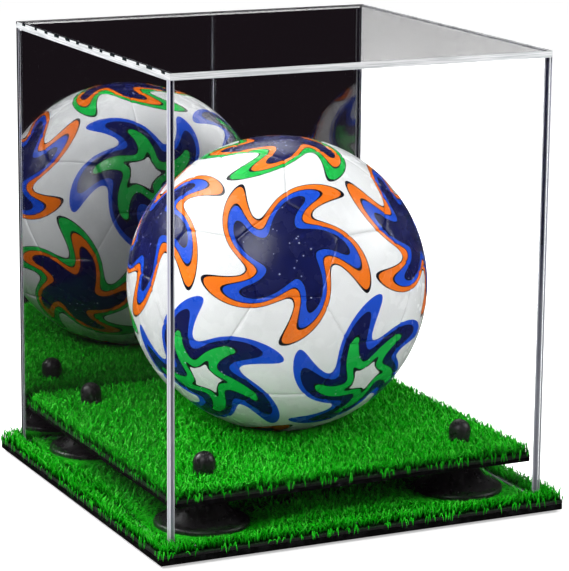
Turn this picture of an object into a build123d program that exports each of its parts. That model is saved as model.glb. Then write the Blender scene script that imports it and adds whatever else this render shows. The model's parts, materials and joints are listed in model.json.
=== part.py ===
from build123d import *
import math
import os
import random

# A display case for one full-size soccer ball. Four clear acrylic sheets and a
# mirrored back sheet make a cover that lifts off. It stands on a black base board
# laid with artificial turf. A second turfed board, the platform, is held above the
# base by four flared riser feet. A long screw comes up through each foot into a
# domed finial that clamps the platform. The ball rests on the platform's turf.
#
# Millimetres. The origin is the centre of the footprint, on the plane that the
# bumper feet stand on. +X runs right along the front wall, +Y to the mirror, +Z up.

# Ball, set down a little to the right of the platform's middle
ball_r = 109.5
ball_x = 5.0
ball_y = 2.0
ball_wall_t = 3.2
ball_seat_gap = 0.3
ball_facets = 3
bladder_t = 1.2
ball_turn = -112.0
ball_nod = 24.0
valve_r = 4.0
valve_stem = 17.0
valve_flange_r = 8.5
valve_flange_t = 1.4
valve_needle_r = 0.8
valve_fit = 0.1

# Room left round the ball inside the cover
ball_side_room = 31.7
ball_head_room = 70.3

# Cover
acrylic_t = 4.8
cover_corner_r = 1.5
sheet_bevel = 0.5
mirror_coat_t = 0.3
mirror_coat_margin = 2.0

# Base and platform boards
base_margin = 12.0
base_board_t = 4.8
platform_board_t = 3.2
platform_clearance = 1.7
board_bevel = 0.4
bumper_side = 16.0
bumper_t = 1.6
bumper_inset = 14.0
bumper_bevel = 0.6

# Artificial turf: a rubbery backing, a root mat and tapering blades
backing_t = 1.6
mat_t = 0.8
pile_h = 9.6
pile_spread = 1.4
blade_w = 2.4
blade_t = 1.3
blade_sink = 0.3
blade_lean = 3.0
blade_clearance = 1.0
edge_stray = 1.4
edge_row_inset = 3.2
edge_row_step = 15.0
wall_row_step = 15.0
under_pitch = 38.0
platform_pitch = 20.4
platform_blade_inset = 4.2

# Risers
riser_inset = 37.5
riser_h = 26.8
foot_r = 32.0
foot_lip_h = 3.6
foot_lip_bevel = 1.1
foot_waist_r = 18.5
foot_waist_h = 11.5
foot_neck_r = 11.0
finial_r = 8.0
finial_h = 20.8
screw_r = 2.0
screw_fit = 0.25
thread_fit = 0.04
screw_grip = 10.0
screw_tip_room = 1.6
screw_head_r = 4.0
screw_head_h = 2.2
hex_key = 2.5
hex_depth = 1.6

# Levels, from the table up
base_z = bumper_t
base_backing_z = base_z + base_board_t
base_mat_z = base_backing_z + backing_t
base_turf_z = base_mat_z + mat_t
platform_z = base_turf_z + riser_h
platform_backing_z = platform_z + platform_board_t
platform_mat_z = platform_backing_z + backing_t
platform_turf_z = platform_mat_z + mat_t
ball_z = platform_turf_z + ball_seat_gap + ball_r
cover_top_z = ball_z + ball_r + ball_head_room + acrylic_t

# Plan sizes, from the ball out
cover_inner = 2 * (ball_r + ball_side_room)
cover_side = cover_inner + 2 * acrylic_t
base_side = cover_side + 2 * base_margin
platform_side = cover_inner - 2 * platform_clearance
wall_h = cover_top_z - acrylic_t - base_turf_z
riser_xy = platform_side / 2 - riser_inset

corners = {
    "front_left": (-riser_xy, -riser_xy),
    "front_right": (riser_xy, -riser_xy),
    "back_left": (-riser_xy, riser_xy),
    "back_right": (riser_xy, riser_xy),
}

LOW = (Align.CENTER, Align.CENTER, Align.MIN)


def revolved(outline):
    """Turns a closed outline, drawn as radius and height, about the Z axis."""
    return revolve(Plane.XZ * make_face(outline), Axis.Z)


def at_risers(solid):
    """A copy of the solid at each of the four riser axes."""
    return [Pos(x, y, 0) * solid for x, y in corners.values()]


# Boards and turf backings

def board(side, thickness, z):
    """A square sheet with bevelled edges and a screw hole at each riser."""
    sheet = Box(side, side, thickness, align=LOW)
    rims = sheet.edges().group_by(Axis.Z)
    sheet = chamfer(rims[0] + rims[-1], board_bevel)
    hole = Cylinder(screw_r + screw_fit, thickness, align=LOW)
    return Pos(0, 0, z) * (sheet - at_risers(hole))


def base_board():
    """The base board, countersunk from below for the riser screws."""
    seat_r = screw_head_r + screw_fit
    seat_h = screw_head_h + screw_fit
    seat = Cone(seat_r, screw_r + screw_fit, seat_h, align=LOW)
    return board(base_side, base_board_t, base_z) - at_risers(Pos(0, 0, base_z) * seat)


def backing(side, z):
    """The black rubbery sheet under a turf, pierced at the risers."""
    sheet = Box(side, side, backing_t, align=LOW)
    hole = Cylinder(screw_r + screw_fit, backing_t, align=LOW)
    return Pos(0, 0, z) * (sheet - at_risers(hole))


def bumper_feet():
    """Four low square rubber pads near the corners of the base board."""
    pad = Box(bumper_side, bumper_side, bumper_t, align=LOW)
    pad = chamfer(pad.edges().group_by(Axis.Z)[0], bumper_bevel)
    reach = base_side / 2 - bumper_inset
    return Compound([Pos(x, y, 0) * pad for x in (-reach, reach) for y in (-reach, reach)])


# Turf pile

def blade(x, y, z, height, lean_x, lean_y, turn):
    """A blade with a three-cornered root and flat sides that lean in to a point."""
    root = Vector(x, y, z - blade_sink)
    across = Vector(math.cos(turn), math.sin(turn), 0) * (blade_w / 2)
    ridge = Vector(-math.sin(turn), math.cos(turn), 0) * blade_t
    ring = [root + across, root + ridge, root - across]
    tip = Vector(x + lean_x, y + lean_y, z + height)
    faces = [Face(Wire.make_polygon(ring))]
    for k in range(3):
        faces.append(Face(Wire.make_polygon([ring[k], ring[(k + 1) % 3], tip])))
    return Solid(Shell(faces))


def edge_row(inset, step, stray, shift, z, dice):
    """One row of blades along each side, leaning out by up to the stray."""
    reach = base_side / 2 - inset
    count = max(1, round(2 * reach / step))
    pitch = 2 * reach / count
    blades = []
    for k in range(count):
        along = -reach + (k + shift) * pitch
        height = pile_h - pile_spread * dice.random()
        drift = blade_lean * dice.uniform(-0.7, 0.7)
        out = stray if k % 3 == 0 else stray * dice.uniform(-0.2, 0.9)
        upright = blade(along, -reach, z, height, drift, -out, dice.uniform(0, math.pi))
        blades += [Rot(0, 0, 90 * side) * upright for side in range(4)]
    return blades


def base_turf_pile():
    """The base's pile: a rim of blades outside the cover and a field inside it."""
    dice = random.Random(11)
    wall_inset = base_margin - blade_clearance - blade_w / 2
    rim_stray = edge_row_inset + edge_stray
    blades = edge_row(edge_row_inset, edge_row_step, rim_stray, 0.25, base_turf_z, dice)
    blades += edge_row(wall_inset, wall_row_step, blade_lean / 2, 0.75, base_turf_z, dice)
    field = cover_inner / 2 - blade_lean - blade_w / 2 - blade_clearance
    blades += turf_field(field, under_pitch, base_turf_z, foot_r, None, dice)
    return turf_sheet(base_side, base_mat_z, blades)


def platform_turf_pile():
    """The platform's pile, pressed flat under the ball and open at the finials."""
    dice = random.Random(5)
    field = platform_side / 2 - platform_blade_inset
    blades = turf_field(field, platform_pitch, platform_turf_z, finial_r, ball_r, dice)
    return turf_sheet(platform_side, platform_mat_z, blades)


def turf_field(reach, pitch, z, post_r, load_r, dice):
    """Blades on a jittered grid, kept off the riser posts and below the ball's load."""
    count = 1 + int(2 * reach / pitch)
    step = 2 * reach / (count - 1)
    post_room = post_r + blade_lean + blade_w / 2 + blade_clearance
    blades = []
    for i in range(count):
        for j in range(count):
            inner = 0 < i < count - 1 and 0 < j < count - 1
            jitter = (step - blade_w) / 2 - blade_lean if inner else 0
            jitter = max(0, min(jitter, blade_lean))
            x = -reach + i * step + dice.uniform(-jitter, jitter)
            y = -reach + j * step + dice.uniform(-jitter, jitter)
            bearing = dice.uniform(0, 2 * math.pi)
            lean = blade_lean * dice.uniform(0.3, 1) if inner else 0
            height = pile_h - pile_spread * dice.random()
            off_x = x - ball_x
            off_y = y - ball_y
            if load_r and math.hypot(off_x, off_y) < load_r / 2:
                bearing = math.atan2(off_y, off_x)
                lean = blade_lean
                height = min(height, pressed_height(off_x, off_y, load_r))
            clear = all(math.hypot(x - px, y - py) > post_room for px, py in corners.values())
            if clear and height > blade_t:
                tilt = lean * height / pile_h
                lean_x = tilt * math.cos(bearing)
                lean_y = tilt * math.sin(bearing)
                blades.append(blade(x, y, z, height, lean_x, lean_y, dice.uniform(0, math.pi)))
    return blades


def pressed_height(off_x, off_y, load_r):
    """How tall a blade can stand off the middle of a ball of the given radius."""
    sagitta = load_r - math.sqrt(load_r ** 2 - off_x ** 2 - off_y ** 2)
    return ball_seat_gap + sagitta - blade_clearance


def turf_sheet(side, z, blades):
    """The root mat with its blades, in one solid."""
    mat = Box(side, side, mat_t, align=LOW)
    hole = Cylinder(screw_r + screw_fit, mat_t, align=LOW)
    mat = Pos(0, 0, z) * (mat - at_risers(hole))
    return mat.fuse(*blades)


# Risers

def riser_foot():
    """A flared foot: a bevelled lip, and a flare in two slopes up to the neck."""
    bore = screw_r + screw_fit
    outline = Polyline(
        (bore, riser_h),
        (bore, 0),
        (foot_r, 0),
        (foot_r, foot_lip_h - foot_lip_bevel),
        (foot_r - foot_lip_bevel, foot_lip_h),
        (foot_waist_r, foot_waist_h),
        (foot_neck_r, riser_h),
        close=True,
    )
    return Pos(0, 0, base_turf_z) * revolved(outline)


def riser_finial():
    """A domed cap, tapped from below."""
    bore = screw_r + thread_fit
    bore_top = screw_grip + screw_tip_room
    shoulder_z = finial_h - finial_r
    outline = [
        Polyline((0, bore_top), (bore, bore_top), (bore, 0), (finial_r, 0), (finial_r, shoulder_z)),
        RadiusArc((finial_r, shoulder_z), (0, finial_h), -finial_r),
        Line((0, finial_h), (0, bore_top)),
    ]
    return Pos(0, 0, platform_turf_z) * revolved(outline)


def riser_screw():
    """A long countersunk screw with a hex socket, from the base to the finial."""
    length = platform_turf_z + screw_grip - base_z
    head = Cone(screw_head_r, screw_r, screw_head_h, align=LOW)
    shank = Cylinder(screw_r, length, align=LOW)
    socket = extrude(RegularPolygon(hex_key / 2, 6, major_radius=False), hex_depth)
    return Pos(0, 0, base_z) * (head + shank - socket)


# Cover

def wall(width, thickness, height):
    """An upright sheet, bevelled round the edges that it stands on."""
    sheet = Box(width, thickness, height, align=LOW)
    return chamfer(sheet.edges().group_by(Axis.Z)[0].filter_by(Axis.X), sheet_bevel)


def end_wall(thickness):
    """A full-width wall with its two outer upright corners rounded; front at -Y."""
    sheet = wall(cover_side, thickness, wall_h)
    uprights = sheet.edges().filter_by(Axis.Z).group_by(Axis.Y)[0]
    return fillet(uprights, cover_corner_r)


def cover_front_panel():
    y = -(cover_side - acrylic_t) / 2
    return Pos(0, y, base_turf_z) * end_wall(acrylic_t)


def cover_back_mirror():
    """The back sheet. Its coat is thin, so the sheet is that much thinner."""
    thickness = acrylic_t - mirror_coat_t
    y = cover_inner / 2 + thickness / 2
    return Pos(0, y, base_turf_z) * Rot(0, 0, 180) * end_wall(thickness)


def mirror_coat():
    """The silvered and painted layer on the back sheet's outer face."""
    width = cover_side - 2 * mirror_coat_margin
    height = wall_h - 2 * mirror_coat_margin
    coat = Box(width, mirror_coat_t, height, align=LOW)
    return Pos(0, (cover_side - mirror_coat_t) / 2, base_turf_z + mirror_coat_margin) * coat


def cover_side_panel(side):
    """The left (-1) or right (+1) wall, between the front and back sheets."""
    x = side * (cover_side - acrylic_t) / 2
    return Pos(x, 0, base_turf_z) * Rot(0, 0, 90) * wall(cover_inner, acrylic_t, wall_h)


def cover_top_panel():
    """The lid sheet, laid over the four walls."""
    sheet = Box(cover_side, cover_side, acrylic_t, align=LOW)
    sheet = fillet(sheet.edges().filter_by(Axis.Z), cover_corner_r)
    sheet = chamfer(sheet.edges().group_by(Axis.Z)[-1], sheet_bevel)
    return Pos(0, 0, cover_top_z - acrylic_t) * sheet


# Ball: 20 hexagons and 12 pentagons, the faces of a truncated icosahedron

def icosahedron():
    """The 12 corners of an icosahedron in the ball's attitude, and their neighbours."""
    golden = (1 + math.sqrt(5)) / 2
    points = []
    for s in (-1, 1):
        for g in (-golden, golden):
            points += [Vector(0, s, g), Vector(s, g, 0), Vector(g, 0, s)]
    upright = Plane(origin=(0, 0, 0), z_dir=points[0])
    attitude = Rot(0, 0, ball_turn) * Rot(0, 90 - ball_nod, 0)
    points = [(attitude * Pos(upright.to_local_coords(p))).position for p in points]
    neighbours = [[j for j, q in enumerate(points) if 1 < (p - q).length < 2.1] for p in points]
    return points, neighbours


def panel_planes():
    """A plane at the ball's middle for each pentagon and each hexagon: Z out, X to a corner."""
    points, neighbours = icosahedron()
    pentagons = []
    hexagons = []
    for i, a in enumerate(points):
        pentagons.append(Plane((0, 0, 0), x_dir=a * 2 + points[neighbours[i][0]], z_dir=a))
        for j in neighbours[i]:
            for k in neighbours[j]:
                if i < j < k and k in neighbours[i]:
                    middle = a + points[j] + points[k]
                    hexagons.append(Plane((0, 0, 0), x_dir=a * 2 + points[j], z_dir=middle))
    return pentagons, hexagons


def panel_corners(sides, reach):
    """The corners of a panel that faces +Z, at a reach from the ball's middle."""
    ball_in_edges = math.sqrt(58 + 18 * math.sqrt(5)) / 4
    panel_in_edges = 1 / (2 * math.sin(math.pi / sides))
    spread = math.asin(panel_in_edges / ball_in_edges)
    corners = []
    for k in range(sides):
        bearing = 2 * math.pi * k / sides
        side = reach * math.sin(spread)
        up = reach * math.cos(spread)
        corners.append(Vector(side * math.cos(bearing), side * math.sin(bearing), up))
    return corners


def domed_facets(middle, corner, next_corner):
    """One sector of a panel's skin, as a triangular grid of flat facets on the ball."""
    steps = range(ball_facets + 1)
    grid = []
    for i in steps:
        row = []
        for j in range(i + 1):
            mix = middle * (ball_facets - i) + corner * (i - j) + next_corner * j
            row.append(mix.normalized() * ball_r)
        grid.append(row)
    facets = []
    for i in steps[1:]:
        for j in range(i):
            facets.append([grid[i - 1][j], grid[i][j], grid[i][j + 1]])
            if j:
                facets.append([grid[i - 1][j - 1], grid[i][j], grid[i - 1][j]])
    return facets, grid[-1]


def panel(sides):
    """A panel that faces +Z: domed outside, flat inside, parted by planes from the middle."""
    outer = panel_corners(sides, ball_r)
    inner = panel_corners(sides, ball_r - ball_wall_t)
    outlines = [inner]
    for k in range(sides):
        far = (k + 1) % sides
        facets, rim = domed_facets(Vector(0, 0, ball_r), outer[k], outer[far])
        outlines += facets
        outlines.append(rim + [inner[far], inner[k]])
    return Solid(Shell([Face(Wire.make_polygon(outline)) for outline in outlines]))


def core(planes, reach):
    """The flat-faced solid whose corners have the given reach from the ball's middle."""
    pentagons, hexagons = planes
    faces = [plane * Face(Wire.make_polygon(panel_corners(5, reach))) for plane in pentagons]
    faces += [plane * Face(Wire.make_polygon(panel_corners(6, reach))) for plane in hexagons]
    return Solid(Shell(faces))


def valve(depth):
    """A rubber plug, its top at 0: a stem, and a flange that seals at the depth."""
    down = (Align.CENTER, Align.CENTER, Align.MAX)
    stem = Cylinder(valve_r, valve_stem, align=down)
    flange = Cylinder(valve_flange_r, valve_flange_t, align=down)
    needle = Cylinder(valve_needle_r, valve_stem, align=down)
    return stem + Pos(0, 0, -depth) * flange - needle


def ball_parts():
    """The ball's panels, bladder and valve. The valve is in the rearmost hexagon."""
    planes = panel_planes()
    pentagons = [plane * panel(5) for plane in planes[0]]
    hexagons = [plane * panel(6) for plane in planes[1]]
    wall_reach = ball_r - ball_wall_t
    bladder = core(planes, wall_reach) - core(planes, wall_reach - bladder_t)
    rear = max(range(len(hexagons)), key=lambda n: planes[1][n].z_dir.Y)
    skin = planes[1][rear] * Pos(0, 0, ball_r)
    hole = skin * Cylinder(valve_r + valve_fit, 2 * valve_stem)
    hexagons[rear] = hexagons[rear] - hole
    depth = ball_r - panel_corners(6, wall_reach - bladder_t)[0].Z
    return {
        "ball_hexagon_panels": Compound([piece.solid() for piece in hexagons]),
        "ball_pentagon_panels": Compound([piece.solid() for piece in pentagons]),
        "ball_bladder": bladder - hole,
        "ball_valve": skin * Pos(0, 0, -valve_fit) * valve(depth),
    }


parts = {
    "bumper_feet": bumper_feet(),
    "base_board": base_board(),
    "base_turf_backing": backing(base_side, base_backing_z),
    "base_turf_pile": base_turf_pile(),
    "riser_screws": Compound(at_risers(riser_screw())),
    "platform_board": board(platform_side, platform_board_t, platform_z),
    "platform_turf_backing": backing(platform_side, platform_backing_z),
    "platform_turf_pile": platform_turf_pile(),
    "cover_front_panel": cover_front_panel(),
    "cover_back_mirror": cover_back_mirror(),
    "mirror_coat": mirror_coat(),
    "cover_left_panel": cover_side_panel(-1),
    "cover_right_panel": cover_side_panel(1),
    "cover_top_panel": cover_top_panel(),
}

parts["riser_feet"] = Compound(at_risers(riser_foot()))
parts["riser_finials"] = Compound(at_risers(riser_finial()))

for node, shape in ball_parts().items():
    parts[node] = Pos(ball_x, ball_y, ball_z) * shape

os.makedirs("parts", exist_ok=True)
for node, shape in parts.items():
    export_step(shape, "parts/" + node + ".step")

print("cover", round(cover_side, 1), "square, top at", round(cover_top_z, 1))
print("base", round(base_side, 1), "platform", round(platform_side, 1), "ball centre", round(ball_z, 1))
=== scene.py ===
import bpy
import json
import math
import random
from mathutils import Matrix, Vector

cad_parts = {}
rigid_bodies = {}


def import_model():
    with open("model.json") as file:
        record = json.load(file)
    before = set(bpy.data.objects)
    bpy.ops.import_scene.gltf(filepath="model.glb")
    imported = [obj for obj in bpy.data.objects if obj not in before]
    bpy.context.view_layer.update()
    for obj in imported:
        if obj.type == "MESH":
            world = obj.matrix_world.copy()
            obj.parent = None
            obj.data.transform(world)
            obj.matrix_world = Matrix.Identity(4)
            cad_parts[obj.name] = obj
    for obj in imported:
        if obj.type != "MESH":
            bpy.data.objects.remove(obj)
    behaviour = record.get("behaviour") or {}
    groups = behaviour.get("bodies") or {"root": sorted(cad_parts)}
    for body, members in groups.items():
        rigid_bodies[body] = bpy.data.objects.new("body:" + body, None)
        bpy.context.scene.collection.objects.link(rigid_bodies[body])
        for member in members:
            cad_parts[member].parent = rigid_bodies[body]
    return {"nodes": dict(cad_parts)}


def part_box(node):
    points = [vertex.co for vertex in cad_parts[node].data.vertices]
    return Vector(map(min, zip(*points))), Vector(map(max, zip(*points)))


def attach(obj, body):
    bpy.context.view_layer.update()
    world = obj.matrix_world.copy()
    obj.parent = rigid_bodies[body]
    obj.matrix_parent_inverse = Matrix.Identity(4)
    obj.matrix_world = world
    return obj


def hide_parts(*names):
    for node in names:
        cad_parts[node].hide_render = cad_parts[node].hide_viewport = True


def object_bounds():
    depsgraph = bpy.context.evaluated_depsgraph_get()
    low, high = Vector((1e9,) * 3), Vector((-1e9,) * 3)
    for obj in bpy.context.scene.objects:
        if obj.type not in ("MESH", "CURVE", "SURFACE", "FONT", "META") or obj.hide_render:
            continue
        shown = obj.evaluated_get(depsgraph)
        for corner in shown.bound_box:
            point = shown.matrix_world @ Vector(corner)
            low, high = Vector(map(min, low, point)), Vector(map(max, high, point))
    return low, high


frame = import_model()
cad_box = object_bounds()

mm = 0.001

# The view and the studio. The photograph looks at the case's front left corner from a
# little above, through a long lens. The floor and the sky are plain white, and the
# light is soft. Anything that the mirror or a gloss picks up sees a dark studio instead.

view_turn = math.radians(-25.71)
view_dip = math.radians(12.78)
view_roll = math.radians(0.48)
view_place = Vector((-842.9, -1769.5, 594.3)) * mm
view_lens = 171.2

camera_data = bpy.data.cameras.new("photo_view")
camera_data.lens = view_lens
camera_data.clip_end = 50
camera = bpy.data.objects.new("photo_view", camera_data)
bpy.context.scene.collection.objects.link(camera)
camera.matrix_world = (
    Matrix.Translation(view_place)
    @ Matrix.Rotation(view_turn, 4, "Z")
    @ Matrix.Rotation(math.pi / 2 - view_dip, 4, "X")
    @ Matrix.Rotation(view_roll, 4, "Z")
)
bpy.context.scene.camera = camera
bpy.context.scene.view_settings.view_transform = "Standard"


def add_node(tree, kind, inputs=None, **settings):
    """Adds a shader node of that kind, sets its options and its unlinked inputs."""
    made = tree.nodes.new("ShaderNode" + kind)
    for option, value in settings.items():
        setattr(made, option, value)
    for socket, value in (inputs or {}).items():
        made.inputs[socket].default_value = value
    return made


def join(tree, source, target):
    tree.links.new(source, target)


def math_node(tree, operation, first, second=None, third=None):
    """A sum on sockets or plain numbers. Returns its output."""
    made = add_node(tree, "Math", operation=operation)
    for slot, value in enumerate((first, second, third)):
        if value is None:
            continue
        if isinstance(value, (int, float)):
            made.inputs[slot].default_value = value
        else:
            join(tree, value, made.inputs[slot])
    return made.outputs[0]


def pick_value(tree, share, first, second):
    """The first value where the share is 0 and the second where it is 1."""
    made = add_node(tree, "Mix", data_type="FLOAT")
    for slot, value in ((0, share), (2, first), (3, second)):
        if isinstance(value, (int, float)):
            made.inputs[slot].default_value = value
        else:
            join(tree, value, made.inputs[slot])
    return made.outputs[0]


def blend_colours(tree, share, first, second, blend_type="MIX"):
    """Mixes two colours, each a socket or a plain colour, by a share."""
    made = add_node(tree, "Mix", data_type="RGBA", blend_type=blend_type)
    for slot, value in ((0, share), (6, first), (7, second)):
        if isinstance(value, (int, float)):
            made.inputs[slot].default_value = value
        elif isinstance(value, tuple):
            made.inputs[slot].default_value = (*value, 1)
        else:
            join(tree, value, made.inputs[slot])
    return made.outputs[2]


studio_white = (1, 1, 1)
studio_dark = (0.0095, 0.0066, 0.0088)
sky_strength = 0.60
backdrop_strength = 2.3
floor_colour = (0.86, 0.86, 0.86)
floor_lift = 0.45
floor_own_light = 0.6
floor_half = 12.0
floor_drop = 0.3 * mm

world = bpy.data.worlds.new("studio")
bpy.context.scene.world = world
world.use_nodes = True
sky = world.node_tree
sky_light = sky.nodes["Background"]
rays = add_node(sky, "LightPath")
mirrored = math_node(sky, "GREATER_THAN", rays.outputs["Glossy Depth"], 0.5)
join(sky, blend_colours(sky, mirrored, studio_white, studio_dark), sky_light.inputs["Color"])
seen = math_node(sky, "LESS_THAN", rays.outputs["Diffuse Depth"], 0.5)
backdrop = pick_value(sky, rays.outputs["Is Transmission Ray"], 1.0, backdrop_strength)
strength = pick_value(sky, seen, sky_strength, backdrop)
join(sky, pick_value(sky, mirrored, strength, 1.0), sky_light.inputs["Strength"])

bpy.ops.mesh.primitive_plane_add(size=2 * floor_half, location=(0, 0, -floor_drop))
floor = bpy.context.object
floor.name = "studio_floor"
floor_paint = bpy.data.materials.new("studio_floor")
floor_paint.use_nodes = True
ground = floor_paint.node_tree
ground.nodes.clear()
rays = add_node(ground, "LightPath")
mirrored = math_node(ground, "GREATER_THAN", rays.outputs["Glossy Depth"], 0.5)
matt = add_node(ground, "BsdfDiffuse", {"Color": (*floor_colour, 1)})
lift = add_node(ground, "Emission")
seen = math_node(ground, "LESS_THAN", rays.outputs["Diffuse Depth"], 0.5)
through = math_node(ground, "MULTIPLY", seen, rays.outputs["Is Transmission Ray"])
lift_through = backdrop_strength - floor_own_light
join(ground, pick_value(ground, through, floor_lift, lift_through), lift.inputs["Strength"])
lit = add_node(ground, "AddShader")
dark = add_node(ground, "Emission", {"Color": (*studio_dark, 1)})
pick = add_node(ground, "MixShader")
surface = add_node(ground, "OutputMaterial")
join(ground, matt.outputs[0], lit.inputs[0])
join(ground, lift.outputs[0], lit.inputs[1])
join(ground, mirrored, pick.inputs[0])
join(ground, lit.outputs[0], pick.inputs[1])
join(ground, dark.outputs[0], pick.inputs[2])
join(ground, pick.outputs[0], surface.inputs["Surface"])
floor.data.materials.append(floor_paint)


def soft_box(name, place, aim, width, power):
    """A square studio lamp that faces its aim, and shows no image in clear sheet."""
    lamp = bpy.data.lights.new(name, "AREA")
    lamp.energy = power
    lamp.size = width
    lamp.cycles.use_multiple_importance_sampling = False
    made = bpy.data.objects.new(name, lamp)
    made.location = place
    made.rotation_mode = "QUATERNION"
    made.rotation_quaternion = (Vector(aim) - Vector(place)).to_track_quat("-Z", "Y")
    bpy.context.scene.collection.objects.link(made)


soft_box("key_lamp", (-1.1, -0.9, 1.3), (0, 0, 0.15), 0.8, 8.5)
soft_box("left_lamp", (-0.9, 0.7, 1.1), (0, 0, 0.1), 0.9, 17.8)
soft_box("fill_lamp", (1.3, -0.6, 1.0), (0, 0, 0.15), 0.8, 7.6)
soft_box("back_lamp", (0.3, 1.3, 1.2), (0, 0, 0.2), 0.9, 5.7)

# The base board and the platform board. Both are saw-cut black cast acrylic, polished,
# with eased edges. The base is countersunk below for the four long screws. They are the
# imported nodes as they are, under a black that shows faint dust.


def new_finish(name, **values):
    """A material with its main shader set, and the shader and node tree at hand."""
    made = bpy.data.materials.new(name)
    made.use_nodes = True
    tree = made.node_tree
    shader = tree.nodes["Principled BSDF"]
    for socket, value in values.items():
        target = shader.inputs[socket.replace("_", " ")]
        target.default_value = (*value, 1) if isinstance(value, tuple) else value
    return made, tree, shader


def spots(tree, scale, detail=3.0, roughness=0.5):
    """Noise on the object's own coordinates, in spots per metre. Returns its output."""
    where = add_node(tree, "TexCoord").outputs["Object"]
    made = add_node(tree, "TexNoise", {"Scale": scale, "Detail": detail, "Roughness": roughness})
    join(tree, where, made.inputs["Vector"])
    return made.outputs["Fac"]


def between(tree, source, low, high, floor_value=0.0, top_value=1.0):
    """Spreads a socket's low to high over a new range, held at its ends."""
    made = add_node(tree, "MapRange", {1: low, 2: high, 3: floor_value, 4: top_value})
    join(tree, source, made.inputs[0])
    return made.outputs[0]


def colour_by(tree, shader, share, first, second):
    """Colours a shader from the first colour to the second, by a share."""
    join(tree, blend_colours(tree, share, first, second), shader.inputs["Base Color"])


def vary_gloss(tree, shader, scale, smoothest, roughest):
    """Lets a shader's roughness wander between two values, in soft clouds."""
    clouds = between(tree, spots(tree, scale), 0.3, 0.7, smoothest, roughest)
    join(tree, clouds, shader.inputs["Roughness"])


def raise_by(tree, shader, source, depth, strength=1.0):
    """Bumps a shader by a height, whose full range is the depth in metres."""
    made = add_node(tree, "Bump", {"Strength": strength, "Distance": depth})
    join(tree, source, made.inputs["Height"])
    join(tree, made.outputs[0], shader.inputs["Normal"])


def dress(node_name, material):
    """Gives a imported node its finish."""
    node = frame["nodes"][node_name]
    node.data.materials.clear()
    node.data.materials.append(material)


board_black = (0.002, 0.002, 0.002)
board_dust = (0.010, 0.010, 0.011)

board_finish, tree, shader = new_finish("black_cast_acrylic", IOR=1.49)
dust = between(tree, spots(tree, 180, 5), 0.48, 0.78)
colour_by(tree, shader, dust, board_black, board_dust)
vary_gloss(tree, shader, 60, 0.08, 0.22)
raise_by(tree, shader, spots(tree, 700, 2), 0.00003)
dress("base_board", board_finish)
dress("platform_board", board_finish)

# The turf's backing sheets and the four bumper feet. Each backing is a black latex
# sheet, glued to its board, whose cut edge shows as a second dark line over the board's.
# The feet are square pads of black rubber, stuck under the base.

rubber_black = (0.005, 0.005, 0.005)
rubber_worn = (0.018, 0.018, 0.017)

backing_finish, tree, shader = new_finish("black_latex_backing")
worn = between(tree, spots(tree, 900, 4, 0.7), 0.45, 0.75)
colour_by(tree, shader, worn, rubber_black, rubber_worn)
vary_gloss(tree, shader, 400, 0.55, 0.85)
raise_by(tree, shader, spots(tree, 1500, 3, 0.6), 0.0003)
dress("base_turf_backing", backing_finish)
dress("platform_turf_backing", backing_finish)

bumper_finish, tree, shader = new_finish("moulded_bumper_rubber", Roughness=0.7)
worn = between(tree, spots(tree, 250), 0.4, 0.8)
colour_by(tree, shader, worn, rubber_black, rubber_worn)
raise_by(tree, shader, spots(tree, 1800, 2), 0.0001)
dress("bumper_feet", bumper_finish)

# The root mats of both turfs. The blades are tufted through a thin green woven mat,
# which shows only as a dark ground between them. Each is one bevelled sheet that the
# risers stand on, and their screws pass through it.

mat_edge = 0.5 * mm
mat_lift = 0.05 * mm
same_place = 1e-6
mat_top_z = {
    "base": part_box("riser_feet")[0].z,
    "platform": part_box("riser_finials")[0].z,
}


def select_nothing():
    """Leaves object mode's selection empty, with nothing active."""
    if bpy.context.object and bpy.context.object.mode != "OBJECT":
        bpy.ops.object.mode_set(mode="OBJECT")
    bpy.ops.object.select_all(action="DESELECT")


def start_block(name, low, high):
    """A block that fills low to high, selected, with its place in its mesh."""
    select_nothing()
    low, high = Vector(low), Vector(high)
    bpy.ops.mesh.primitive_cube_add(size=1, location=(low + high) / 2, scale=high - low)
    made = bpy.context.object
    made.name = name
    bpy.ops.object.transform_apply(location=True, rotation=True, scale=True)
    return made


def pick_edges(piece, wanted):
    """Selects, in edit mode, the edges whose two ends satisfy the test."""
    bpy.ops.object.mode_set(mode="EDIT")
    bpy.ops.mesh.select_mode(type="EDGE")
    bpy.ops.mesh.select_all(action="DESELECT")
    bpy.ops.object.mode_set(mode="OBJECT")
    for edge in piece.data.edges:
        a, b = (piece.data.vertices[i].co for i in edge.vertices)
        edge.select = wanted(a, b)
    bpy.ops.object.mode_set(mode="EDIT")


def ease_edges(piece, wanted, width, segments):
    """Bevels the edges that satisfy the test."""
    pick_edges(piece, wanted)
    bpy.ops.mesh.bevel(offset=width, segments=segments, affect="EDGES")
    bpy.ops.object.mode_set(mode="OBJECT")


def is_upright(a, b):
    return abs(a.x - b.x) < same_place and abs(a.y - b.y) < same_place


def hand_over(piece, body, slot, material, *nodes):
    """Finishes a piece: its material, the body it rides on and its nodes. Its slot is not used."""
    if material:
        piece.data.materials.clear()
        piece.data.materials.append(material)
    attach(piece, body)
    if nodes:
        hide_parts(*nodes)


mat_green = (0.004, 0.060, 0.006)
mat_shadow = (0.001, 0.016, 0.002)

mat_finish, tree, shader = new_finish("green_root_mat", Roughness=0.8)
weave = between(tree, spots(tree, 1100, 3), 0.35, 0.65)
colour_by(tree, shader, weave, mat_shadow, mat_green)
raise_by(tree, shader, weave, 0.0005)

for level in ("base", "platform"):
    low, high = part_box(level + "_turf_backing")
    root_mat = start_block(level + "_root_mat", (low.x, low.y, high.z + mat_lift),
                           (high.x, high.y, mat_top_z[level] - mat_lift))
    ease_edges(root_mat, is_upright, mat_edge, 2)
    hand_over(root_mat, "plinth", "green_turf", mat_finish, level + "_turf_pile")

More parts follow.
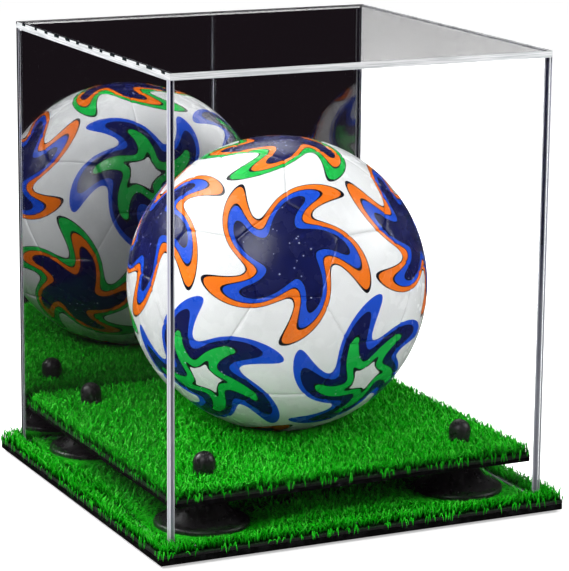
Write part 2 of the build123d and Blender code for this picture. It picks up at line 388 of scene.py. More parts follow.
# The turf blades. Each tuft is a pinch of flat polyethylene ribbons that splay, curl
# and end in a point. They are pressed down under the ball, part round the risers and
# the cover's walls, and stray over the boards' edges.

blade_pitch = {"base": 3.4 * mm, "platform": 3.2 * mm}
blades_a_tuft = 5
blade_length = (9.0 * mm, 10.4 * mm)
blade_tilt = (math.radians(12), math.radians(58))
blade_top = 9.6 * mm
blade_width = (0.95 * mm, 1.55 * mm)
blade_twist = 0.9
blade_least = 0.3 * mm
tuft_radius = 0.9 * mm
tuft_tilt = 1.8 * mm
blade_clear = 0.9 * mm
tip_clear = 0.4 * mm
root_inset = 0.2 * mm
hang_inset = 0.1 * mm

# A ribbon's corners as shares of its height, its lean and its width, and each corner's
# painted light, from painted shade at the root to a painted highlight at the point. A stray
# blade first climbs and then hangs down past the edge.

blade_steps = ((0.0, 0.0, 1.0), (0.46, 0.22, 0.95), (0.82, 0.62, 0.70), (1.0, 1.0, 0.0))
blade_lightness = [0.0, 0.0, 0.46, 0.46, 0.82, 0.82, 1.0]
stray_steps = ((0.0, 0.0, 0.8), (-0.95, 0.45, 0.75), (0.15, 0.85, 0.55), (1.0, 1.0, 0.0))
stray_lightness = [0.3, 0.3, 0.75, 0.75, 0.62, 0.62, 0.8]
stray_shade = 0.8
stray_count = 360
stray_inset = 0.3 * mm
stray_out = (0.8 * mm, 1.2 * mm)
stray_drift = 3.6 * mm
stray_drop = (1.4 * mm, 4.2 * mm)

right_low, right_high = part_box("cover_right_panel")
wall_outer = right_high.x
wall_inner = right_low.x

pentagon_node = frame["nodes"]["ball_pentagon_panels"]
pentagon_points = [v.co.copy() for v in pentagon_node.data.vertices]
ball_middle = sum(pentagon_points, Vector()) / len(pentagon_points)
ball_r = max((p - ball_middle).length for p in pentagon_points)
ball_clear = 0.35 * mm
ball_dent = 0.6

foot_low, foot_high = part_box("riser_feet")
finial_low, finial_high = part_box("riser_finials")
foot_r = 32.0 * mm
finial_r = 8.0 * mm
post_r = {"base": foot_r + 0.6 * mm, "platform": finial_r + 0.4 * mm}
foot_press = 1.2 * mm
foot_slope = 0.22
fringe_rise = 2.4 * mm
riser_xy = foot_high.x - foot_r
riser_places = {
    "front_left": Vector((-riser_xy, -riser_xy, 0)),
    "front_right": Vector((riser_xy, -riser_xy, 0)),
    "back_left": Vector((-riser_xy, riser_xy, 0)),
    "back_right": Vector((riser_xy, riser_xy, 0)),
}


def to_riser(spot):
    """How far a spot lies from the nearest riser's axis."""
    return min(math.hypot(spot.x - p.x, spot.y - p.y) for p in riser_places.values())


def reach_of(point):
    """How far out from the middle a point lies, on the square."""
    return max(abs(point.x), abs(point.y))


def zone_of(level, root):
    """The least and the greatest reach that a blade's tip may have, or None."""
    inside = wall_inner - blade_clear
    if level == "platform":
        inside = platform_half - root_inset
    if reach_of(root) < inside:
        return 0.0, wall_inner - tip_clear
    if level == "base" and wall_outer + blade_clear < reach_of(root) < base_half - root_inset:
        return wall_outer + tip_clear, base_hang
    return None


def pile_top(level, spot):
    """How high the pile may stand: it is pressed by the ball, and round the feet."""
    if level == "base":
        fringe = fringe_rise if reach_of(spot) > wall_outer else 0
        return foot_press + foot_slope * max(to_riser(spot) - foot_r, 0) + fringe
    flat = math.hypot(spot.x - ball_middle.x, spot.y - ball_middle.y)
    if flat > ball_r * ball_dent:
        return blade_top
    return ball_middle.z - math.sqrt(ball_r ** 2 - flat ** 2) - spot.z - ball_clear


def fit_lean(zone, root, lean):
    """Shortens or turns back a blade's lean until its tip is in its zone, or gives None."""
    for share in (1.0, -1.0, 0.5, -0.5, 0.12):
        if zone[0] <= reach_of(root + lean * share) <= zone[1]:
            return lean * share
    return None


def fit_height(level, spot, height):
    """Keeps a blade's height under the pile's top at a spot."""
    return max(min(height, pile_top(level, spot)), blade_least)


def add_blade(pile, dice, steps, root, lean, height, splay):
    """Adds the seven corners of one ribbon to the pile, from its root to its point."""
    across = Vector((-math.sin(splay), math.cos(splay), 0)) * dice.uniform(*blade_width) / 2
    twist = dice.uniform(-blade_twist, blade_twist)
    for rise, out, share in steps:
        middle = root + lean * out + Vector((0, 0, height * rise))
        turned = Matrix.Rotation(twist * rise, 3, "Z") @ across * share
        pile["points"] += [middle - turned, middle + turned] if share else [middle]


def grow_tuft(pile, dice, level, tuft, turn, tuft_shade):
    """Adds the blades of one tuft that have room."""
    tuft_lean = tuft_tilt * Vector((math.cos(turn), math.sin(turn), 0))
    for k in range(blades_a_tuft):
        splay = turn + 2 * math.pi * (k + dice.uniform(-0.4, 0.4)) / blades_a_tuft
        outwards = Vector((math.cos(splay), math.sin(splay), 0))
        root = tuft + outwards * tuft_radius
        zone = zone_of(level, root)
        if zone is None or to_riser(root) <= post_r[level]:
            continue
        tilt, length = dice.uniform(*blade_tilt), dice.uniform(*blade_length)
        height = fit_height(level, root, min(length * math.cos(tilt), blade_top))
        lean = outwards * math.sqrt(max(length ** 2 - height ** 2, 0)) + tuft_lean
        lean = fit_lean(zone, root, lean)
        if lean is None:
            continue
        height = fit_height(level, root + lean, height)
        add_blade(pile, dice, blade_steps, root, lean, height, splay)
        pile["shades"] += [0.55 * tuft_shade + 0.45 * dice.random()] * 7
        pile["lightness"] += blade_lightness


def hang_stray(pile, dice, half, root_z):
    """Adds one blade that lies out over a board's edge and hangs down."""
    side, along = dice.randrange(4) * math.pi / 2, dice.uniform(-half, half)
    outwards = Vector((math.cos(side), math.sin(side), 0))
    sideways = Vector((-outwards.y, outwards.x, 0))
    root = outwards * (half - stray_inset) + sideways * along + Vector((0, 0, root_z))
    lean = outwards * dice.uniform(*stray_out)
    lean += sideways * dice.uniform(-stray_drift, stray_drift)
    add_blade(pile, dice, stray_steps, root, lean, -dice.uniform(*stray_drop), side)
    pile["shades"] += [dice.random() * stray_shade] * 7
    pile["lightness"] += stray_lightness


def grow_turf(level, seed, half, thin_within, kept_share):
    """Tufts on a jittered grid over a square, as one mesh of ribbons with a shade each."""
    dice = random.Random(seed)
    pile = {"points": [], "shades": [], "lightness": []}
    root_z = mat_top_z[level] - mat_lift
    count = int(2 * half / blade_pitch[level])
    for cell in range(count * count):
        tuft = Vector((-half + (cell // count + dice.uniform(0.1, 0.9)) * 2 * half / count,
                       -half + (cell % count + dice.uniform(0.1, 0.9)) * 2 * half / count,
                       root_z))
        turn, tuft_shade = dice.uniform(0, 2 * math.pi), dice.random()
        if reach_of(tuft) < thin_within and dice.random() > kept_share:
            continue
        grow_tuft(pile, dice, level, tuft, turn, tuft_shade)
    for _ in range(stray_count):
        hang_stray(pile, dice, half, root_z)
    ribbon = ((0, 1, 3, 2), (2, 3, 5, 4), (4, 5, 6))
    faces = [[first + c for c in loop] for first in range(0, len(pile["points"]), 7)
             for loop in ribbon]
    mesh = bpy.data.meshes.new(level + "_turf_blades")
    mesh.from_pydata([tuple(p) for p in pile["points"]], [], faces)
    # Each corner keeps a random tone per blade and its painted light: painted shade low down, a
    # painted highlight near the point.
    for attribute, values in (("blade_shade", pile["shades"]), ("painted_lightness", pile["lightness"])):
        mesh.attributes.new(attribute, "FLOAT", "POINT").data.foreach_set("value", values)
    mesh.update()
    made = bpy.data.objects.new(level + "_turf_blades", mesh)
    bpy.context.scene.collection.objects.link(made)
    return made


# The blades' colours hold painted light: the near-black green low on each blade is painted shade,
# and the pale yellow-green near the points is a painted highlight.
root_painted_shade = (0.0005, 0.012, 0.0005)
deep_green = (0.002, 0.20, 0.002)
bright_green = (0.010, 0.56, 0.008)
tip_green = (0.002, 0.50, 0.002)
tip_painted_highlight = (0.13, 0.92, 0.08)
streak_green = (0.001, 0.20, 0.001)

turf_green, tree, shader = new_finish("green_turf_ribbon", IOR=1.45, Specular_IOR_Level=0.09)
# Painted light along each blade, from painted shade at the root to a painted highlight at the
# point.
rise = add_node(tree, "Attribute", attribute_name="painted_lightness").outputs["Fac"]
shade = add_node(tree, "Attribute", attribute_name="blade_shade").outputs["Fac"]
body = blend_colours(tree, shade, deep_green, bright_green)
highlight_tips = blend_colours(tree, between(tree, shade, 0.45, 0.98), tip_green, tip_painted_highlight)
high = blend_colours(tree, between(tree, rise, 0.55, 0.95), body, highlight_tips)
streak = between(tree, spots(tree, 1500, 2), 0.35, 0.7, 0.0, 0.35)
high = blend_colours(tree, streak, high, streak_green)
# Painted shade: each blade is darkened towards its root.
colour_by(tree, shader, between(tree, rise, 0.12, 0.58), root_painted_shade, high)
vary_gloss(tree, shader, 350, 0.25, 0.5)

base_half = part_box("base_board")[1].x
platform_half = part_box("platform_board")[1].x
base_hang = cad_box[1].x - hang_inset

base_blades = grow_turf("base", seed=21, half=base_half, thin_within=96 * mm, kept_share=0.35)
platform_blades = grow_turf("platform", seed=22, half=platform_half, thin_within=0, kept_share=1)
hand_over(base_blades, "plinth", "green_turf", turf_green, "base_turf_pile")
hand_over(platform_blades, "plinth", "green_turf", turf_green, "platform_turf_pile")

# The riser feet. Four flared bells moulded in black plastic, each with a rounded lip on
# the turf and a hollow slope up to a short neck under the platform. They are turned
# forms, bored for the screws that clamp the platform.

turn_steps = 72
merge_gap = 0.001 * mm
turned_crease = math.radians(40)


def turned(name, outline, place):
    """Spins a closed outline of radius and height round an upright axis."""
    select_nothing()
    bpy.ops.mesh.primitive_circle_add(vertices=len(outline), radius=1, location=(0, 0, 0))
    made = bpy.context.object
    made.name = name
    for vertex, (r, z) in zip(made.data.vertices, outline):
        vertex.co = (place.x + r, place.y, z)
    bpy.ops.object.mode_set(mode="EDIT")
    bpy.ops.mesh.select_all(action="SELECT")
    bpy.ops.mesh.spin(steps=turn_steps, angle=2 * math.pi,
                      center=(place.x, place.y, 0), axis=(0, 0, 1))
    bpy.ops.mesh.select_all(action="SELECT")
    bpy.ops.mesh.remove_doubles(threshold=merge_gap)
    bpy.ops.mesh.normals_make_consistent(inside=False)
    bpy.ops.object.mode_set(mode="OBJECT")
    bpy.ops.object.shade_smooth_by_angle(angle=turned_crease)
    return made


def arc(middle_r, middle_z, radius, start, end, steps):
    """Points on an arc of an outline, angles in degrees from outwards to up."""
    found = []
    for k in range(steps + 1):
        angle = math.radians(start + (end - start) * k / steps)
        found.append((middle_r + radius * math.cos(angle), middle_z + radius * math.sin(angle)))
    return found


plastic_black = (0.012, 0.011, 0.012)
plastic_grey = (0.026, 0.025, 0.026)

riser_finish, tree, shader = new_finish("black_moulded_plastic", IOR=1.5)
cloud = between(tree, spots(tree, 90, 4), 0.35, 0.75)
colour_by(tree, shader, cloud, plastic_black, plastic_grey)
vary_gloss(tree, shader, 240, 0.24, 0.38)
raise_by(tree, shader, spots(tree, 2600, 2), 0.00004)

screw_bore_r = 2.25 * mm
foot_base_z = foot_low.z
foot_top_z = foot_high.z
under_r = 1.0 * mm
lip_r = 2.3 * mm
slope_inset = 2.0 * mm
slope_start_h = 4.3 * mm
slope_steps = 14
neck_r = 11.0 * mm
neck_h = 2.2 * mm


def foot_outline():
    """The bell in section, from the bore's foot out round the lip and up the slope."""
    outline = [(screw_bore_r, foot_base_z), (foot_r - under_r, foot_base_z)]
    outline += arc(foot_r - under_r, foot_base_z + under_r, under_r, -60, 0, 3)
    outline += arc(foot_r - lip_r, foot_base_z + lip_r, lip_r, 0, 100, 8)
    slope_r = foot_r - lip_r - slope_inset
    slope_z = foot_base_z + slope_start_h
    slope_h = foot_top_z - neck_h - slope_z
    for k in range(1, slope_steps + 1):
        share = k / slope_steps
        hollow = 0.62 * share + 0.38 * (1 - (1 - share) ** 2.2)
        outline.append((slope_r + (neck_r - slope_r) * hollow, slope_z + slope_h * share ** 1.25))
    outline.append((neck_r, foot_top_z))
    outline.append((screw_bore_r, foot_top_z))
    return outline


for corner, place in riser_places.items():
    riser_foot = turned("riser_foot_" + corner, foot_outline(), place)
    hand_over(riser_foot, "plinth", "black_gloss_plastic", riser_finish, "riser_feet")

# The finials. Four black domed caps that stand up through the platform's turf and screw
# down on the ends of the long screws. Their sides draw in a little towards the board.

finial_waist_r = 7.3 * mm
finial_ease = 0.4 * mm
thread_bore_r = 2.04 * mm
thread_bore_h = 11.6 * mm
drill_point_h = 0.8 * mm


def finial_outline():
    """The cap in section: a blind bore below, a slightly tapered side and a dome."""
    base_z = finial_low.z
    dome_z = finial_high.z - finial_r
    bore_z = base_z + thread_bore_h
    outline = [(thread_bore_r, base_z), (finial_waist_r - finial_ease, base_z)]
    outline.append((finial_waist_r, base_z + finial_ease))
    for share in (0.5, 0.75):
        side_r = finial_waist_r + (finial_r - finial_waist_r) * share
        outline.append((side_r, base_z + (dome_z - base_z) * share))
    outline += arc(0, dome_z, finial_r, 0, 88, 16)
    outline += [(0, finial_high.z), (0, bore_z), (thread_bore_r, bore_z - drill_point_h)]
    return outline


for corner, place in riser_places.items():
    finial = turned("riser_finial_" + corner, finial_outline(), place)
    hand_over(finial, "plinth", "black_gloss_plastic", riser_finish, "riser_finials")

# The four long screws. Zinc-plated steel, countersunk from under the base. Only the
# heads show, from below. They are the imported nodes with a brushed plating.

zinc_dull = (0.42, 0.42, 0.43)
zinc_bright = (0.62, 0.62, 0.62)

screw_finish, tree, shader = new_finish("zinc_plated_steel", Metallic=1.0)
colour_by(tree, shader, between(tree, spots(tree, 900, 4), 0.35, 0.7), zinc_dull, zinc_bright)
vary_gloss(tree, shader, 500, 0.25, 0.45)
dress("riser_screws", screw_finish)

# The cover's sheets. Front, sides and lid are clear cast acrylic, cut square and
# flame-polished on their edges, and cemented where they meet. A hair's gap between
# the sheets stands for the cement, which catches the light along each joint.

joint_gap = 0.04 * mm
cover_corner_r = 0.4 * mm
sheet_edge = 0.35 * mm
front_reach = 1 * mm
sheet_t = wall_outer - wall_inner
sheet_middle = (wall_outer + wall_inner) / 2
sheet_tint = (0.96, 0.97, 0.97, 1)


def clear_finish(name, seen_in_mirror):
    """Clear acrylic that lets the lamps reach what is behind it."""
    made, tree, shader = new_finish(name, Base_Color=(1.0, 1.0, 1.0), Roughness=0.0,
                                    IOR=1.49, Transmission_Weight=1.0)
    raise_by(tree, shader, spots(tree, 9, 2), 0.00002, 0.35)
    through = add_node(tree, "BsdfTransparent", {"Color": sheet_tint})
    rays = add_node(tree, "LightPath")
    passed = rays.outputs["Is Shadow Ray"]
    if not seen_in_mirror:
        mirrored = math_node(tree, "GREATER_THAN", rays.outputs["Glossy Depth"], 0.5)
        passed = math_node(tree, "MAXIMUM", passed, mirrored)
    pick = add_node(tree, "MixShader")
    join(tree, passed, pick.inputs[0])
    join(tree, shader.outputs[0], pick.inputs[1])
    join(tree, through.outputs[0], pick.inputs[2])
    join(tree, pick.outputs[0], tree.nodes["Material Output"].inputs["Surface"])
    return made


def drawn_out(tree, stretch, detail, roughness):
    """The object's X, Y and Z apart, and a noise that is drawn out along an edge."""
    where = add_node(tree, "TexCoord").outputs["Object"]
    apart = add_node(tree, "SeparateXYZ")
    join(tree, where, apart.inputs[0])
    drawn = add_node(tree, "VectorMath", {1: stretch}, operation="MULTIPLY")
    join(tree, where, drawn.inputs[0])
    noise = add_node(tree, "TexNoise", {"Scale": 1, "Detail": detail, "Roughness": roughness})
    join(tree, drawn.outputs[0], noise.inputs["Vector"])
    return apart.outputs, noise.outputs["Fac"]


# The cut edges are coloured in painted light: pale rims of painted highlight round a core of
# painted reflection.
edge_wander = 0.9 * mm
rim_starts = 1.55 * mm
rim_ends = 2.05 * mm


def cut_edge_painted_light(name, thin_axis, core, rim, low_reflection):
    """A cut edge: pale rims of painted highlight, and a core of painted reflection that shows the
    dark studio, and the turf below near its foot.
    """
    made, tree, shader = new_finish(name, IOR=1.49, Transmission_Weight=0.2)
    place, noise = drawn_out(tree, (900, 900, 14), 2, 0.5)
    from_middle = math_node(tree, "ABSOLUTE", place[thin_axis])
    from_middle = math_node(tree, "SUBTRACT", from_middle, sheet_middle)
    from_middle = math_node(tree, "ABSOLUTE", from_middle)
    wander = math_node(tree, "MULTIPLY_ADD", noise, edge_wander, from_middle)
    middle = blend_colours(tree, between(tree, place["Z"], 0.09, 0.20), low_reflection, core)
    colour_by(tree, shader, between(tree, wander, rim_starts, rim_ends), middle, rim)
    join(tree, between(tree, noise, 0.3, 0.7, 0.05, 0.16), shader.inputs["Roughness"])
    return made


dash_count = 46
dash_share = 0.34
dash_height = 0.64
dash_colour = (0.012, 0.020, 0.022)
# The lid edge's painted highlight, drawn in fine lines, and the dark painted reflection along its
# back edge.
lid_highlight_line_dark = (0.50, 0.53, 0.54)
lid_highlight_line_pale = (0.86, 0.86, 0.88)
lid_back_edge_reflection = (0.030, 0.030, 0.034)
side_margin = 0.4 * mm
lid_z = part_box("cover_top_panel")[0].z


def lid_edge_painted_light(name):
    """The lid's cut edge: a bright painted highlight with fine lengthwise lines and a row of dark
    dashes, and a dark painted reflection along its back.
    """
    made, tree, shader = new_finish(name, IOR=1.49, Transmission_Weight=0.2)
    place, noise = drawn_out(tree, (30, 30, 1500), 3, 0.6)
    lines = between(tree, noise, 0.38, 0.6)
    lines = blend_colours(tree, lines, lid_highlight_line_dark, lid_highlight_line_pale)
    along = math_node(tree, "MULTIPLY", place["Y"], dash_count)
    along = math_node(tree, "MULTIPLY_ADD", spots(tree, 70, 2), 0.7, along)
    dash = math_node(tree, "LESS_THAN", math_node(tree, "FRACT", along), dash_share)
    above = math_node(tree, "GREATER_THAN", place["Z"], lid_z + dash_height * sheet_t)
    sideways = math_node(tree, "ABSOLUTE", place["X"])
    on_side = math_node(tree, "GREATER_THAN", sideways, wall_outer - side_margin)
    dash = math_node(tree, "MULTIPLY", math_node(tree, "MULTIPLY", dash, above), on_side)
    dashed = blend_colours(tree, dash, lines, dash_colour)
    behind = math_node(tree, "GREATER_THAN", place["Y"], wall_outer - side_margin)
    colour_by(tree, shader, behind, dashed, lid_back_edge_reflection)
    join(tree, between(tree, noise, 0.3, 0.7, 0.05, 0.2), shader.inputs["Roughness"])
    return made


side_sheet = clear_finish("clear_cast_acrylic", False)
right_sheet = clear_finish("clear_acrylic_by_the_mirror", True)
# The cut edges' materials are painted light: a painted highlight on the lid's edge, and painted
# reflections with pale painted-highlight rims on the front and side edges.
lid_edge = lid_edge_painted_light("lid_edge_painted_highlight")
front_edge = cut_edge_painted_light("front_edge_painted_reflection", "Y",
                         (0.42, 0.42, 0.52), (0.66, 0.66, 0.72), (0.45, 0.45, 0.50))
side_edge = cut_edge_painted_light("side_edge_painted_reflection", "X",
                        (0.012, 0.012, 0.040), (0.70, 0.71, 0.76), (0.30, 0.31, 0.36))


def every_edge(a, b):
    return True


def front_uprights(a, b):
    return is_upright(a, b) and a.y < front_reach - wall_outer


def cut_sheet(name, node, thin_axis, corner_edges, clear, edge):
    """A sheet in a packed panel's place, eased on its edges, with its edge faces apart."""
    low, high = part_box(node)
    gap = Vector((joint_gap, joint_gap, joint_gap))
    made = start_block(name, low + gap, high - gap)
    if corner_edges:
        ease_edges(made, corner_edges, cover_corner_r, 4)
    else:
        ease_edges(made, every_edge, sheet_edge, 2)
    made.data.materials.append(clear)
    made.data.materials.append(edge)
    for face in made.data.polygons:
        face.material_index = 0 if abs(face.normal[thin_axis]) > 0.99 else 1
    return made


sheets = {
    "cover_front_sheet": ("cover_front_panel", 1, front_uprights, side_sheet, front_edge),
    "cover_left_sheet": ("cover_left_panel", 0, None, side_sheet, side_edge),
    "cover_right_sheet": ("cover_right_panel", 0, None, right_sheet, side_edge),
    "cover_lid_sheet": ("cover_top_panel", 2, is_upright, right_sheet, lid_edge),
}
for name, (node, thin_axis, corner_edges, clear, edge) in sheets.items():
    sheet = cut_sheet(name, node, thin_axis, corner_edges, clear, edge)
    hand_over(sheet, "cover", "clear_acrylic", None, node)

# The back sheet and its mirror. The sheet is the same clear acrylic, silvered on its
# outer face, and the silver is sealed by a coat of grey paint. The reflection lies
# behind the sheet's thickness, so its cut edges stay clear.

# The mirror sheet's cut edges are painted light as well: a dark painted reflection with dim rims
# of painted highlight.
mirror_edge = cut_edge_painted_light("mirror_edge_painted_reflection", "Y",
                          (0.010, 0.010, 0.014), (0.22, 0.22, 0.25), (0.03, 0.03, 0.035))
mirror_sheet = cut_sheet("cover_mirror_sheet", "cover_back_mirror", 1, None,
                         right_sheet, mirror_edge)
hand_over(mirror_sheet, "cover", "mirror_acrylic", None, "cover_back_mirror")

silver_hazy = (0.90, 0.90, 0.91)
silver_clean = (0.93, 0.93, 0.93)
paint_dark = (0.16, 0.165, 0.17)
paint_pale = (0.23, 0.235, 0.24)
paint_ease = 0.1 * mm
back_reach = 0.01 * mm

silver_finish, tree, shader = new_finish("silvered_face", Metallic=1.0, Roughness=0.012)
colour_by(tree, shader, between(tree, spots(tree, 25, 3), 0.3, 0.7), silver_hazy, silver_clean)
paint_finish, tree, shader = new_finish("grey_sealing_paint")
colour_by(tree, shader, between(tree, spots(tree, 300, 5), 0.35, 0.7), paint_dark, paint_pale)
vary_gloss(tree, shader, 120, 0.45, 0.65)
raise_by(tree, shader, spots(tree, 1200, 3), 0.0001)

low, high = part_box("mirror_coat")


def round_the_back(a, b):
    return abs(a.y - b.y) < same_place and a.y > high.y - back_reach


silver = start_block("mirror_silver_and_paint", low, high)
ease_edges(silver, round_the_back, paint_ease, 2)
silver.data.materials.append(silver_finish)
silver.data.materials.append(paint_finish)
for face in silver.data.polygons:
    face.material_index = 0 if face.normal.y < -0.9 else 1
hand_over(silver, "cover", "mirror_coat_paint", None, "mirror_coat")

# The ball. Twenty white hexagons and twelve pentagons of glossy synthetic leather, sewn
# edge to edge, so each panel domes and rolls down into a narrow seam. A printed wheel
# of coloured bands is centred on each pentagon. The design is generic.

panel_t = 2.6 * mm
pentagon_insets = (0.5, 0.7, 1.0, 1.8, 3.0, 5.0, 6.0, 6.0)
hexagon_insets = (*pentagon_insets, 5.0, 2.5)
rim_cuts = 11
seam_drop = (0.95 * mm, 0.5 * mm, 0.17 * mm, 0.03 * mm)
skin_depth = 0.05 * mm
panel_span = 18 * mm
same_radius = 0.01 * mm
panel_crease = math.radians(50)


def pentagon_middles():
    """The direction of each pentagon's middle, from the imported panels' outer points."""
    skin = {tuple(round(c, 6) for c in p - ball_middle) for p in pentagon_points
            if (p - ball_middle).length > ball_r - skin_depth}
    groups = []
    for point in sorted(skin):
        point = Vector(point)
        near = [g for g in groups if any((point - q).length < panel_span for q in g)]
        joined = [point] + [q for g in near for q in g]
        groups = [g for g in groups if g not in near] + [joined]
    return [sum(g, Vector()).normalized() for g in groups]


def axes_of(first, second):
    """The turn whose Z is the first direction and whose X leans to the second."""
    z = first.normalized()
    x = (second - z * second.dot(z)).normalized()
    return Matrix((x, z.cross(x), z)).transposed()


def nearest(directions, point):
    return max(range(len(directions)), key=lambda k: directions[k].dot(point))


def neighbour(directions, k):
    """One of the five pentagons next to pentagon k."""
    others = [d for i, d in enumerate(directions) if i != k]
    return others[nearest(others, directions[k])]


middles = pentagon_middles()
select_nothing()
bpy.ops.mesh.primitive_ico_sphere_add(subdivisions=1, radius=ball_r, location=(0, 0, 0))
ball = bpy.context.object
ico = [v.co.normalized() for v in ball.data.vertices]
turn = axes_of(middles[0], neighbour(middles, 0)) @ axes_of(ico[0], neighbour(ico, 0)).inverted()
ball.data.transform(turn.to_4x4())
bpy.ops.object.mode_set(mode="EDIT")
bpy.ops.mesh.select_all(action="SELECT")
bpy.ops.mesh.bevel(offset_type="PERCENT", offset_pct=100 / 3, affect="VERTICES")
bpy.ops.mesh.select_all(action="SELECT")
bpy.ops.mesh.edge_split(type="EDGE")
bpy.ops.mesh.select_mode(type="FACE")
bpy.ops.mesh.select_all(action="DESELECT")
bpy.ops.mesh.select_face_by_sides(number=5, type="EQUAL")
bpy.ops.mesh.separate(type="SELECTED")
bpy.ops.object.mode_set(mode="OBJECT")
white_panels = ball
navy_panels = next(o for o in bpy.context.selected_objects if o != ball)
white_panels.name = "ball_hexagon_skin"
navy_panels.name = "ball_pentagon_skin"


def take_up(piece):
    """Makes a piece the only one selected, and active."""
    select_nothing()
    piece.select_set(True)
    bpy.context.view_layer.objects.active = piece


def dome_panels(piece, insets):
    """Insets and divides each flat panel, rounds it to the ball and rolls its rim down."""
    take_up(piece)
    bpy.ops.object.mode_set(mode="EDIT")
    bpy.ops.mesh.select_mode(type="FACE")
    bpy.ops.mesh.select_all(action="SELECT")
    for step in insets:
        bpy.ops.mesh.inset(thickness=step * mm, depth=0, use_individual=True, use_even_offset=True)
    bpy.ops.mesh.poke()
    bpy.ops.object.mode_set(mode="OBJECT")
    pick_edges(piece, lambda a, b: abs(a.length - b.length) < same_radius)
    bpy.ops.mesh.subdivide(number_cuts=rim_cuts, ngon=False)
    bpy.ops.object.mode_set(mode="OBJECT")
    cast = piece.modifiers.new("round", "CAST")
    cast.factor = 1
    cast.size = ball_r
    cast.use_radius_as_size = False
    bpy.ops.object.modifier_apply(modifier="round")
    bpy.ops.object.mode_set(mode="EDIT")
    bpy.ops.mesh.select_mode(type="VERT")
    bpy.ops.mesh.select_all(action="DESELECT")
    bpy.ops.mesh.select_non_manifold()
    ring, rings = set(), []
    for drop in seam_drop:
        bpy.ops.object.mode_set(mode="OBJECT")
        now = {v.index for v in piece.data.vertices if v.select}
        rings.append((now - ring, drop))
        ring = now
        bpy.ops.object.mode_set(mode="EDIT")
        bpy.ops.mesh.select_more()
    bpy.ops.object.mode_set(mode="OBJECT")
    for members, drop in rings:
        for index in members:
            vertex = piece.data.vertices[index]
            vertex.co = vertex.co.normalized() * (ball_r - drop)


print_degrees = 40
print_reach = math.radians(print_degrees)


def print_map(piece):
    """A map round the nearest pentagon's middle, and which of three colourings it has."""
    layer = piece.data.uv_layers.new(name="print")
    wheel = piece.data.attributes.new("wheel", "FLOAT", "FACE")
    turns = [axes_of(m, neighbour(middles, k)).inverted() for k, m in enumerate(middles)]
    for face in piece.data.polygons:
        k = nearest(middles, face.center.normalized())
        wheel.data[face.index].value = (k % 3) / 2
        for corner in face.loop_indices:
            vertex = piece.data.vertices[piece.data.loops[corner].vertex_index]
            local = turns[k] @ vertex.co.normalized()
            angle = math.acos(max(-1.0, min(1.0, local.z))) / print_reach
            flat = Vector((local.x, local.y))
            if flat.length > 1e-9:
                flat = flat.normalized() * angle
            layer.data[corner].uv = (0.5 + flat.x / 2, 0.5 + flat.y / 2)


def close_panels(piece):
    """Gives the panels their thickness, inwards, and puts the ball in its place."""
    take_up(piece)
    wall = piece.modifiers.new("wall", "SOLIDIFY")
    wall.thickness = panel_t
    wall.offset = -1
    bpy.ops.object.modifier_apply(modifier="wall")
    piece.data.transform(Matrix.Translation(ball_middle))
    bpy.ops.object.shade_smooth_by_angle(angle=panel_crease)


ink_navy = (0.004, 0.007, 0.075)
ink_black = (0.006, 0.006, 0.014)
ink_blue = (0.006, 0.070, 0.58)
ink_green = (0.006, 0.44, 0.060)
ink_orange = (0.84, 0.17, 0.006)
speck_pale = (0.55, 0.6, 0.8)
leather_white = (0.79, 0.80, 0.81)
leather_soil = (0.55, 0.54, 0.52)

# The wheels' bands, each from so many degrees off the wheel's middle, and the inks of
# the three colourings. The ground is the leather itself.

full_bands = (
    (0.0, "core"), (13.0, "line"), (13.7, "inner"), (18.4, "line"),
    (19.1, "outer"), (24.2, "line"), (25.1, "ground"),
)
open_bands = (
    (0.0, "ground"), (5.6, "line"), (6.4, "inner"), (11.2, "line"),
    (11.9, "core"), (19.0, "outer"), (24.4, "ground"),
)
wheels = (
    (full_bands, {"inner": ink_blue, "outer": ink_orange}),
    (open_bands, {"inner": ink_green, "outer": ink_blue}),
    (full_bands, {"inner": ink_orange, "outer": ink_green}),
)
core_degrees = full_bands[1][0]
petals = 5
petal_reach = 10.0
petal_twist = 1.5
petal_start = math.pi


def band_ramp(tree, source, bands, colours):
    """Hard-edged bands of colour over the distance from a wheel's middle."""
    made = add_node(tree, "ValToRGB")
    made.color_ramp.interpolation = "CONSTANT"
    points = made.color_ramp.elements
    while len(points) < len(bands):
        points.new(0.5)
    for point, (angle, part) in zip(points, bands):
        point.position = angle / print_degrees
        point.color = (*colours[part], 1)
    join(tree, source, made.inputs[0])
    return made.outputs["Color"]


def petal_distance(tree):
    """The distance from the wheel's middle, drawn in and out by five swirled petals."""
    flat = add_node(tree, "UVMap", uv_map="print").outputs[0]
    centred = add_node(tree, "VectorMath", {1: (0.5, 0.5, 0)}, operation="SUBTRACT")
    join(tree, flat, centred.inputs[0])
    split = add_node(tree, "SeparateXYZ")
    join(tree, centred.outputs[0], split.inputs[0])
    length = add_node(tree, "VectorMath", operation="LENGTH")
    join(tree, centred.outputs[0], length.inputs[0])
    reach = math_node(tree, "MULTIPLY", length.outputs["Value"], 2)
    bearing = math_node(tree, "ARCTAN2", split.outputs["Y"], split.outputs["X"])
    swirl = math_node(tree, "MULTIPLY_ADD", bearing, petals, petal_start)
    swirl = math_node(tree, "MULTIPLY_ADD", reach, petal_twist * petals, swirl)
    wave = math_node(tree, "COSINE", swirl)
    wave = math_node(tree, "MULTIPLY", wave, petal_reach / print_degrees)
    wave = math_node(tree, "MULTIPLY", wave, between(tree, reach, 0.12, 0.5))
    return math_node(tree, "SUBTRACT", reach, wave)


def cells(tree, scale, feature):
    """Cells on the object's own coordinates, by the distance to their middles."""
    made = add_node(tree, "TexVoronoi", {"Scale": scale}, feature=feature)
    join(tree, add_node(tree, "TexCoord").outputs["Object"], made.inputs["Vector"])
    return made.outputs["Distance"]


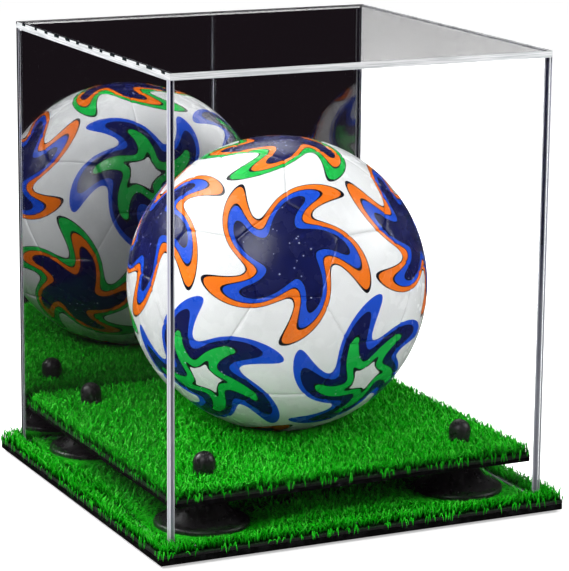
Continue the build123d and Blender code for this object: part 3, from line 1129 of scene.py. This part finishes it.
def printed_wheels(tree, ground):
    """The three colourings by panel, with pale specks scattered over the navy cores."""
    distance = petal_distance(tree)
    wheel = add_node(tree, "Attribute", attribute_name="wheel").outputs["Fac"]
    shown = []
    for bands, colours in wheels:
        parts = dict(colours, core=ink_navy, line=ink_black, ground=ground)
        shown.append(band_ramp(tree, distance, bands, parts))
    is_second = math_node(tree, "GREATER_THAN", wheel, 0.25)
    is_third = math_node(tree, "GREATER_THAN", wheel, 0.75)
    printed = blend_colours(tree, is_second, shown[0], shown[1])
    printed = blend_colours(tree, is_third, printed, shown[2])
    speck = between(tree, cells(tree, 210.0, "F1"), 0.10, 0.16, 0.75, 0)
    scattered = math_node(tree, "GREATER_THAN", spots(tree, 60, 2), 0.52)
    in_core = math_node(tree, "LESS_THAN", distance, core_degrees / print_degrees)
    speck = math_node(tree, "MULTIPLY", math_node(tree, "MULTIPLY", speck, scattered), in_core)
    return blend_colours(tree, speck, printed, speck_pale)


def leather_finish(name, ground):
    """Glossy synthetic leather with a fine grain, and the printed wheels over it."""
    made, tree, shader = new_finish(name, IOR=1.5, Coat_Weight=0.35, Coat_Roughness=0.08)
    printed = printed_wheels(tree, ground)
    soil = between(tree, spots(tree, 35, 4), 0.3, 0.8, 0.0, 0.10)
    soiled = blend_colours(tree, soil, printed, leather_soil, "MULTIPLY")
    join(tree, soiled, shader.inputs["Base Color"])
    vary_gloss(tree, shader, 80, 0.20, 0.32)
    raise_by(tree, shader, cells(tree, 900.0, "SMOOTH_F1"), 0.00005, 0.6)
    return made


for piece, insets, node, slot in (
    (white_panels, hexagon_insets, "ball_hexagon_panels", "white_ball_leather"),
    (navy_panels, pentagon_insets, "ball_pentagon_panels", "navy_ball_leather"),
):
    dome_panels(piece, insets)
    print_map(piece)
    close_panels(piece)
    hand_over(piece, "ball", slot, leather_finish(slot, leather_white), node)

# The bladder and its valve. Black latex inside the panels, with a rubber valve that
# comes out through the rearmost hexagon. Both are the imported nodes.

latex_finish, tree, shader = new_finish("black_latex_bladder", Roughness=0.55)
colour_by(tree, shader, between(tree, spots(tree, 400), 0.4, 0.7), rubber_black, rubber_worn)
raise_by(tree, shader, spots(tree, 900, 2), 0.0001)
dress("ball_bladder", latex_finish)
dress("ball_valve", latex_finish)
